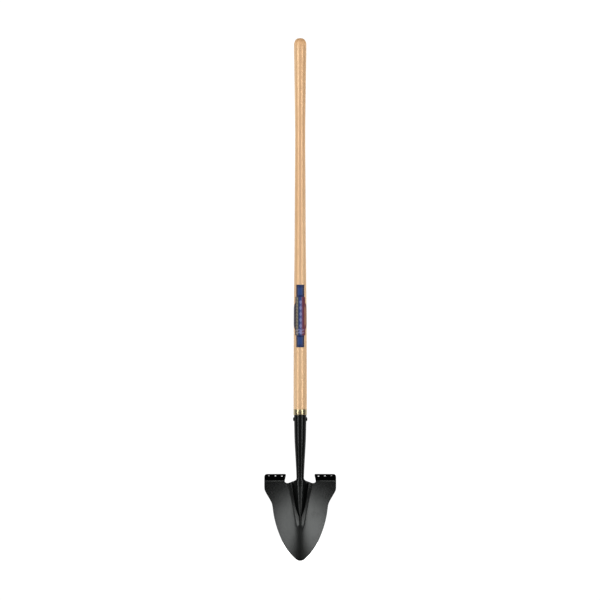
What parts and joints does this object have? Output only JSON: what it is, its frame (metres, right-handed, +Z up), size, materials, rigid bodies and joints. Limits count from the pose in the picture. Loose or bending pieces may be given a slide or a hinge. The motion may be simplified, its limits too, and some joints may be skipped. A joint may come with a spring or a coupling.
{
  "type": "round point shovel",
  "caption": "Round point digging shovel: open-back pressed steel blade with turned steps, rolled socket, brass ferrule and long ash handle.",
  "frame": {"origin": "on the handle's axis, at the middle of the slim stretch that a rack clip holds", "axes": "+Z up along the handle away from the blade, -Y is the side that the blade's dish faces, +X to the right seen from that side"},
  "size_m": [0.2042, 0.1033, 1.483],
  "materials": {
    "coated_steel": "satin black powder coat",
    "ash": "clear lacquered ash",
    "brass": "polished",
    "rivet_steel": "satin black",
    "printed_film": "gloss printed film"
  },
  "bodies": {
    "root": {"blade": "coated_steel", "handle": "ash", "ferrule": "brass", "rivet": "rivet_steel", "label": "printed_film"}
  },
  "joints": []
}
